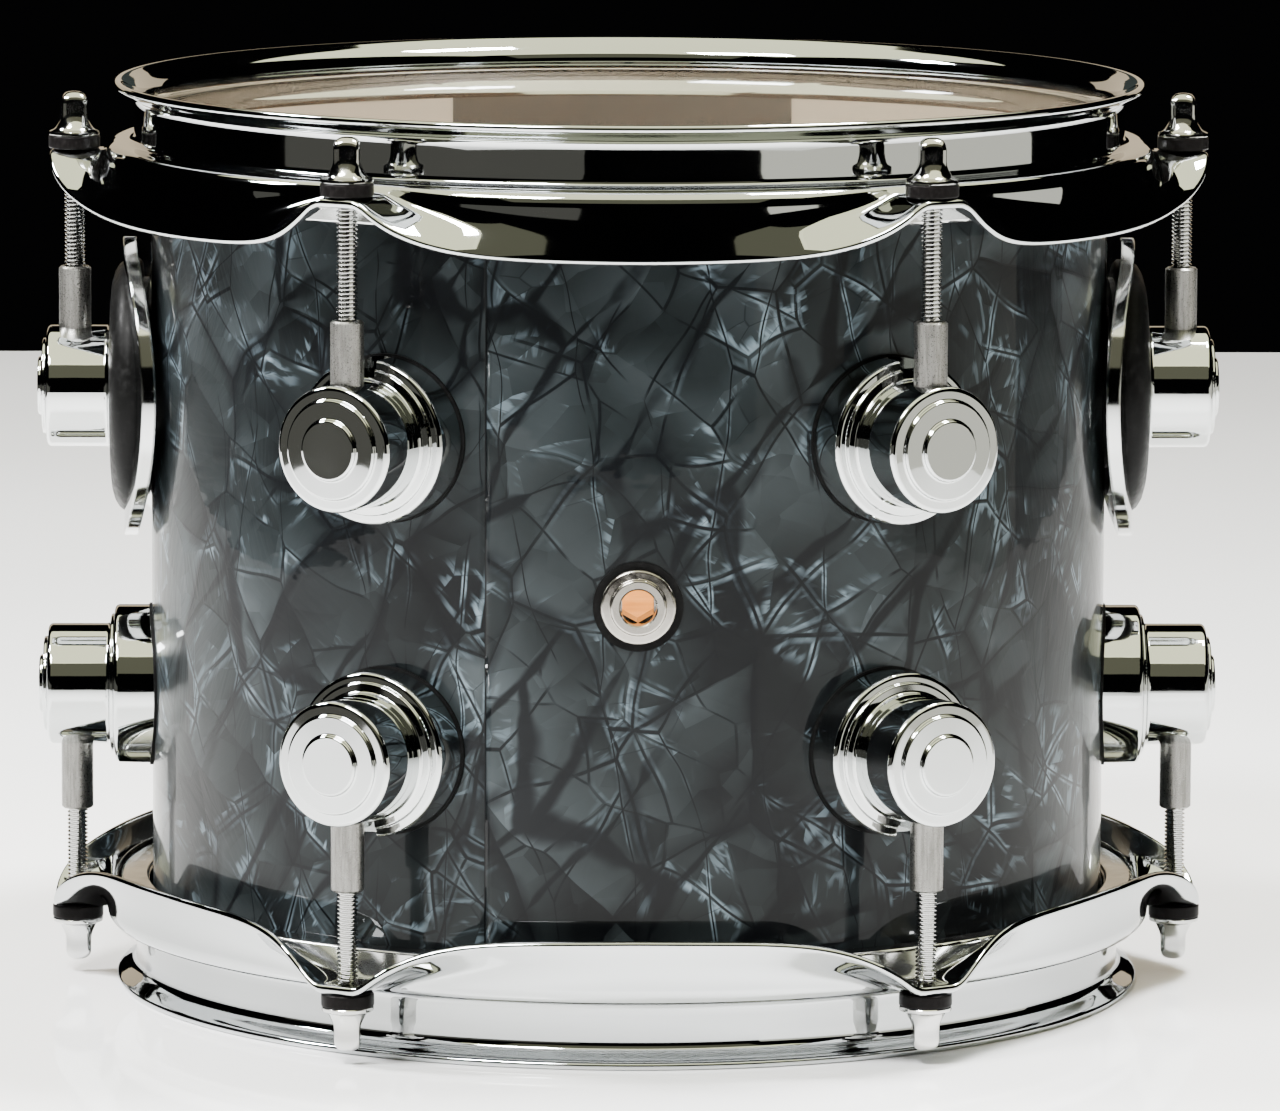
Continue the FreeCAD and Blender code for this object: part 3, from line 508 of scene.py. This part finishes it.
def hoop_ring(shoulder, ear, edge, azimuth, thickness=2.2):
    outer, inner = [], []
    path = smooth_path(hoop_corners(shoulder, ear, edge, ear_share(azimuth)), 7, 5)
    for point, along in path:
        normal = Vector((-along.y, along.x))
        outer.append(point)
        inner.append(point + normal * thickness)

    def round_end(start, end, along):
        centre = (start + end) * 0.5
        side = (start - end) * 0.5
        reach = along * (thickness * 0.40)
        turns = [math.pi * k / 8 for k in range(1, 8)]
        return [centre + side * math.cos(t) + reach * math.sin(t) for t in turns]

    ring = outer + round_end(outer[-1], inner[-1], path[-1][1])
    ring += inner[::-1] + round_end(inner[0], outer[0], -path[0][1])
    return [(p.x, max(p.y, 0.0)) for p in ring]


def hoop(name, body, shoulder, ear, edge, upside_down):
    columns = 720
    points, faces = [], []
    for column in range(columns):
        azimuth = 360.0 * column / columns
        ring = hoop_ring(shoulder, ear, edge, azimuth)
        for radius, depth in ring:
            z = depth if upside_down else DRUM_HEIGHT - depth
            points.append(polar(radius, azimuth, z))
    across = len(ring)
    for column in range(columns):
        ahead = (column + 1) % columns
        for k in range(across):
            after = (k + 1) % across
            here, there = column * across, ahead * across
            quad = (here + k, there + k, there + after, here + after)
            faces.append(quad[::-1] if upside_down else quad)
    return piece(name, points, faces, CHROME, body, (name.replace("_shine", ""),), 50.0)


def lathe(profile, segments, place):
    """Points and faces of a closed profile of (radius, height) turned about a line; place maps
    (radius, angle, height) to space."""
    points, faces = [], []
    count = len(profile)
    for s in range(segments):
        angle = 2 * math.pi * s / segments
        points += [place(r, angle, h) for r, h in profile]
    for s in range(segments):
        t = (s + 1) % segments
        for k in range(count):
            n = (k + 1) % count
            faces.append((s * count + k, t * count + k, t * count + n, s * count + n))
    return points, faces


# ------------------------------------------------------------------ pieces
def make_wrap():
    """The pearl sheet, unrolled from its seam, with a hole behind the vent."""
    columns, rows = 400, 100
    low, high = WRAP_MARGIN, DRUM_HEIGHT - WRAP_MARGIN
    points, faces, places = [], [], []
    for column in range(columns + 1):
        azimuth = SEAM_AZIMUTH + 360.0 * column / columns
        for row in range(rows + 1):
            z = mix(low, high, row / rows)
            points.append(polar(SHELL_RADIUS, azimuth, z))
            places.append((SHELL_RADIUS * math.radians(azimuth - SEAM_AZIMUTH) * MM, z * MM))
    for column in range(columns):
        for row in range(rows):
            corner = column * (rows + 1) + row
            centre = (Vector(points[corner]) + Vector(points[corner + rows + 2])) / 2
            if centre.y < 0 and math.hypot(centre.x, centre.z - VENT_Z) < VENT_BORE_RADIUS:
                continue
            faces.append((corner, corner + rows + 1, corner + rows + 2, corner + 1))
    made = piece("pearl_sheet", points, faces, PEARL, "drum_body", ("finish_wrap",), 32.0)
    layer = made.data.uv_layers.new(name="sheet")
    for loop in made.data.loops:
        layer.data[loop.index].uv = places[loop.vertex_index]
    thick = made.modifiers.new("thickness", "SOLIDIFY")
    thick.thickness = WRAP_THICKNESS * MM
    thick.offset = -1.0
    return made


def make_film(name, body, node, seat_top, upside_down):
    """A head: flat over the shell, then a collar down inside its flesh hoop, whose top is at seat_top."""
    top = DRUM_HEIGHT - HEAD_DEPTH + FILM_THICKNESS
    corners = [(0.02, top, 0.0), (FILM_PEAK - 20, top, 0.0), (FILM_PEAK + 0.3, top, 0.8),
               (FILM_PEAK + 1.7, top - 0.7, 1.0), (FILM_PEAK + 2.5, top - 3.2, 1.8),
               (FLESH_INNER, seat_top + 1.6, 1.2), (FLESH_INNER, seat_top - 7.1, 0.0)]
    path = smooth_path(corners, 5, 2)
    outer = [(p.x, p.y) for p, _ in path]
    inner = [(p.x + a.y * FILM_THICKNESS, p.y - a.x * FILM_THICKNESS) for p, a in path]
    profile = outer + inner[::-1]

    def place(r, angle, h):
        z = DRUM_HEIGHT - h if upside_down else h
        return (r * math.sin(angle), -r * math.cos(angle), z)

    points, faces = lathe(profile, 256, place)
    if not upside_down:
        faces = [f[::-1] for f in faces]
    return piece(name, points, faces, FILM, body, (node,), 50.0)


def make_rod(index, azimuth, upside_down):
    """A tension rod with a real helical thread and a domed square head."""
    seat = DRUM_HEIGHT - EAR_DEPTH + WASHER_HEIGHT + FIT_GAP
    per_turn = 24
    low, high = seat - THREAD_LENGTH, seat + 0.4
    turns = int((high - low) / THREAD_PITCH)
    thread = [(THREAD_MINOR, 0.0), (THREAD_MINOR, 0.10), (THREAD_MAJOR, 0.44), (THREAD_MAJOR, 0.60),
              (THREAD_MINOR, 0.94)]
    points, faces = [], []
    steps = turns * per_turn
    across = len(thread)
    for i in range(steps + 1):
        angle = 2 * math.pi * i / per_turn
        base = low + THREAD_PITCH * i / per_turn
        for radius, share in thread:
            points.append((radius * math.cos(angle), radius * math.sin(angle), base + share * THREAD_PITCH))
    for i in range(steps):
        for k in range(across - 1):
            a = i * across + k
            faces.append((a, a + across, a + across + 1, a + 1))
        if i + per_turn < steps:
            a = i * across + across - 1
            b = (i + per_turn) * across
            faces.append((a, a + across, b + across, b))
    # the head, from its round flange to its crown: half width, height, and how square (2 is round)
    levels = [(6.2, 0.0, 2), (6.55, 0.04, 2), (6.7, 0.25, 2), (6.7, 0.75, 2), (6.55, 1.05, 2), (6.0, 1.3, 2),
              (5.3, 1.6, 2), (4.85, 2.1, 2.1), (4.45, 2.8, 2.4), (4.05, 3.5, 2.9), (3.72, 4.2, 3.8),
              (3.5, 4.9, 5.0), (3.38, 5.6, 6.5), (3.34, 6.2, 7.5), (3.34, 7.4, 7.5), (3.34, 8.6, 7.5),
              (3.3, 9.2, 6.5), (3.2, 9.8, 5.2), (2.98, 10.4, 4.0), (2.6, 10.9, 3.2), (2.05, 11.28, 2.7),
              (1.3, 11.5, 2.3), (0.6, 11.58, 2.0), (0.05, 11.6, 2.0)]
    segments = 64
    first = len(points)
    for half, lift, power in levels:
        for s in range(segments):
            angle = 2 * math.pi * s / segments
            c, d = math.cos(angle), math.sin(angle)
            radius = half / (abs(c) ** power + abs(d) ** power) ** (1.0 / power)
            points.append((radius * c, radius * d, seat + lift))
    for level in range(len(levels) - 1):
        for s in range(segments):
            t = (s + 1) % segments
            a = first + level * segments
            faces.append((a + s, a + t, a + segments + t, a + segments + s))
    faces.append(tuple(first + s for s in range(segments))[::-1])
    last = first + (len(levels) - 1) * segments
    faces.append(tuple(last + s for s in range(segments)))
    centre = polar(ROD_CIRCLE, azimuth, 0.0)
    swing = Matrix.Rotation(math.radians(HEAD_TURNS[index - 1]), 3, "Z")
    moved = []
    for p in points:
        q = swing @ Vector(p) + centre
        moved.append((q.x, q.y, DRUM_HEIGHT - q.z if upside_down else q.z))
    if upside_down:
        faces = [f[::-1] for f in faces]
    row = "bottom" if upside_down else "top"
    name = f"{row}_rod_{index}"
    return piece(f"{name}_threaded", moved, faces, ROD_CHROME, f"{name}_body", (name,), 28.0)


def make_eye_ring(side, sign):
    """The domed face of the rubber ring in an eye of the band; its rim sinks into the eye."""
    profile = [(21.8, 127.6), (21.8, 136.9), (22.4, 137.5), (25.0, 137.5), (28.0, 137.2), (30.5, 136.5),
               (32.4, 135.3), (33.5, 133.9), (34.0, 132.2), (33.9, 130.2), (33.0, 129.3), (29.0, 129.0),
               (29.0, 127.6)]

    def place(r, angle, h):
        return (sign * h, -r * math.sin(angle), UPPER_LUG_Z + r * math.cos(angle))

    points, faces = lathe(profile, 128, place)
    if sign < 0:
        faces = [f[::-1] for f in faces]
    return piece(f"{side}_eye_ring", points, faces, RUBBER, "drum_body",
                 (f"{side}_eye_rubber",), 50.0)


hoop("batter_hoop_shine", "batter_hoop_body", BATTER_SHOULDER, EAR_DEPTH, BATTER_EDGE, False)
hoop("resonant_hoop_shine", "resonant_hoop_body", RESONANT_SHOULDER, EAR_DEPTH, RESONANT_EDGE, True)
make_wrap()
make_film("batter_film_clear", "drum_body", "batter_head_film",
          DRUM_HEIGHT - BATTER_SHOULDER - FLESH_DROP, False)
make_film("resonant_film_clear", "drum_body", "resonant_head_film",
          DRUM_HEIGHT - RESONANT_SHOULDER - FLESH_DROP, True)
make_eye_ring("right", 1)
make_eye_ring("left", -1)
for number, swung in enumerate(ROD_AZIMUTHS, 1):
    make_rod(number, swung, False)
    make_rod(number, swung, True)


# ------------------------------------------------------------------ stage, lights and camera
def plane(name, corners, material):
    mesh = bpy.data.meshes.new(name)
    mesh.from_pydata(corners, [], [(0, 1, 2, 3)])
    mesh.materials.append(material)
    made = bpy.data.objects.new(name, mesh)
    bpy.context.scene.collection.objects.link(made)
    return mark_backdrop(made)


def soft_panel(name, place, aim, width, height, watts, colour):
    light = bpy.data.lights.new(name, "AREA")
    light.shape = "RECTANGLE"
    light.size = width
    light.size_y = height
    light.energy = watts
    light.color = colour
    made = bpy.data.objects.new(name, light)
    bpy.context.scene.collection.objects.link(made)
    made.location = place
    made.rotation_euler = (Vector(aim) - Vector(place)).to_track_quat("-Z", "Y").to_euler()
    return made


TABLE_LEFT, TABLE_RIGHT, TABLE_FRONT, TABLE_BACK = -0.95, 0.95, -1.26, 1.42
plane("table", [(TABLE_LEFT, TABLE_FRONT, 0), (TABLE_RIGHT, TABLE_FRONT, 0), (TABLE_RIGHT, TABLE_BACK, 0),
                (TABLE_LEFT, TABLE_BACK, 0)], table_top())

world = bpy.data.worlds.new("dark_studio")
world.use_nodes = True
world.node_tree.nodes["Background"].inputs[0].default_value = (0.0016, 0.0016, 0.0018, 1.0)
bpy.context.scene.world = world

WHITE = (1.0, 1.0, 1.0)
WARM = (1.0, 0.99, 0.66)
GREY = (1.0, 0.98, 0.84)
TAN = (1.0, 0.82, 0.57)
COOL = (0.80, 1.0, 0.92)
PANELS = [                                          # name, place, aim, width, height, watts, colour
    ("overhead", (0, -0.12, 1.4), (0, -0.12, 0), 2.2, 2.2, 38.0, WARM),
    ("left_key", (-1.33, 0.14, 1.36), (0, 0, 0.1), 0.28, 0.28, 84.0, WHITE),
    ("top_key", (0.41, 0.10, 1.38), (0, 0, 0.1), 0.28, 0.28, 72.0, WHITE),
    ("front_key", (-0.60, -0.80, 1.38), (0, 0, 0.1), 0.55, 0.30, 76.0, WHITE),
    ("left_card", (-1.45, -1.3, -0.17), (0, 0, 0.1), 2.95, 1.0, 1.3, GREY),
    ("right_card", (1.85, -0.85, -0.17), (0, 0, 0.1), 3.1, 1.0, 12.5, GREY),
    ("front_card", (0, -2.0, 1.55), (0, 0, 0.15), 2.4, 1.2, 1.9, WARM),
    ("rear_left", (-0.644, 2.3, 0.62), (-0.644, 0, 0.24), 1.2, 0.55, 1.9, TAN),
    ("rear_right", (0.734, 2.3, 0.62), (0.734, 0, 0.24), 1.2, 0.55, 1.9, TAN),
    ("rear_card", (0.045, 2.3, 0.62), (0.045, 0, 0.24), 0.178, 0.55, 0.02, COOL),
]
for panel in PANELS:
    soft_panel(*panel)

LENS = 252.66
DISTANCE = 2.3995
AIM_HEIGHT = 0.1217
RAISED = math.radians(7.828)
ROUND_TO_THE_LEFT = math.radians(-1.2)
look_yaw, look_down, roll = math.radians(0.078), math.radians(8.035), math.radians(0.218)
camera = bpy.data.objects.new("camera", bpy.data.cameras.new("camera"))
bpy.context.scene.collection.objects.link(camera)
camera.data.sensor_width = 36.0
camera.data.lens = LENS
forward = Vector((math.sin(look_yaw) * math.cos(look_down), math.cos(look_yaw) * math.cos(look_down),
                  -math.sin(look_down)))
right = forward.cross(Vector((0, 0, 1))).normalized()
up = right.cross(forward)
rolled_right = right * math.cos(roll) + up * math.sin(roll)
rolled_up = up * math.cos(roll) - right * math.sin(roll)
pose = Matrix((rolled_right, rolled_up, -forward)).transposed().to_4x4()
pose.translation = Vector((0, -DISTANCE * math.cos(RAISED), DISTANCE * math.sin(RAISED)))
camera.matrix_world = (Matrix.Translation((0, 0, AIM_HEIGHT))
                       @ Matrix.Rotation(ROUND_TO_THE_LEFT, 4, "Z") @ pose)
bpy.context.scene.camera = camera
